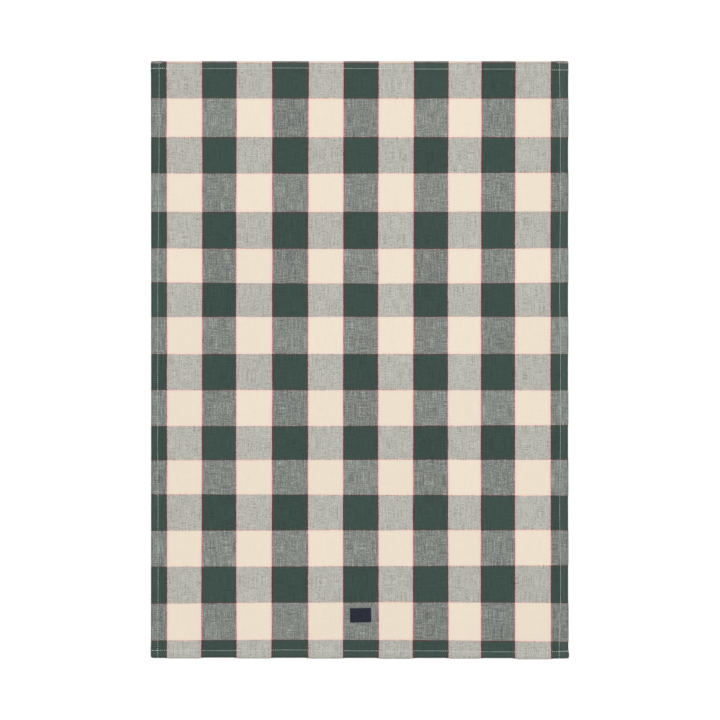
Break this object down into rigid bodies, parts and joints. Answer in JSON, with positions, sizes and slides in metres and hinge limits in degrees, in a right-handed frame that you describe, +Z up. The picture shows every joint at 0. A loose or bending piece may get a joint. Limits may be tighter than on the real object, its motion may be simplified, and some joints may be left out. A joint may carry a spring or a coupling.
{
  "type": "tea towel",
  "caption": "Checked cotton and linen tea towel lying flat, hemmed all round, with a small plain woven label near one short end.",
  "frame": {"origin": "under the middle of the towel's outline, on the surface that it lies on", "axes": "+X across the towel to the right, +Y along its length away from the label, +Z up out of the face that carries the label"},
  "size_m": [0.4896, 0.7006, 0.0026],
  "materials": {
    "cloth": "plain-woven cotton and linen, dark green and cream check with thin red yarns",
    "label": "dark navy woven label, bare"
  },
  "bodies": {
    "root": {"towel": "cloth", "label": "label"}
  },
  "joints": []
}
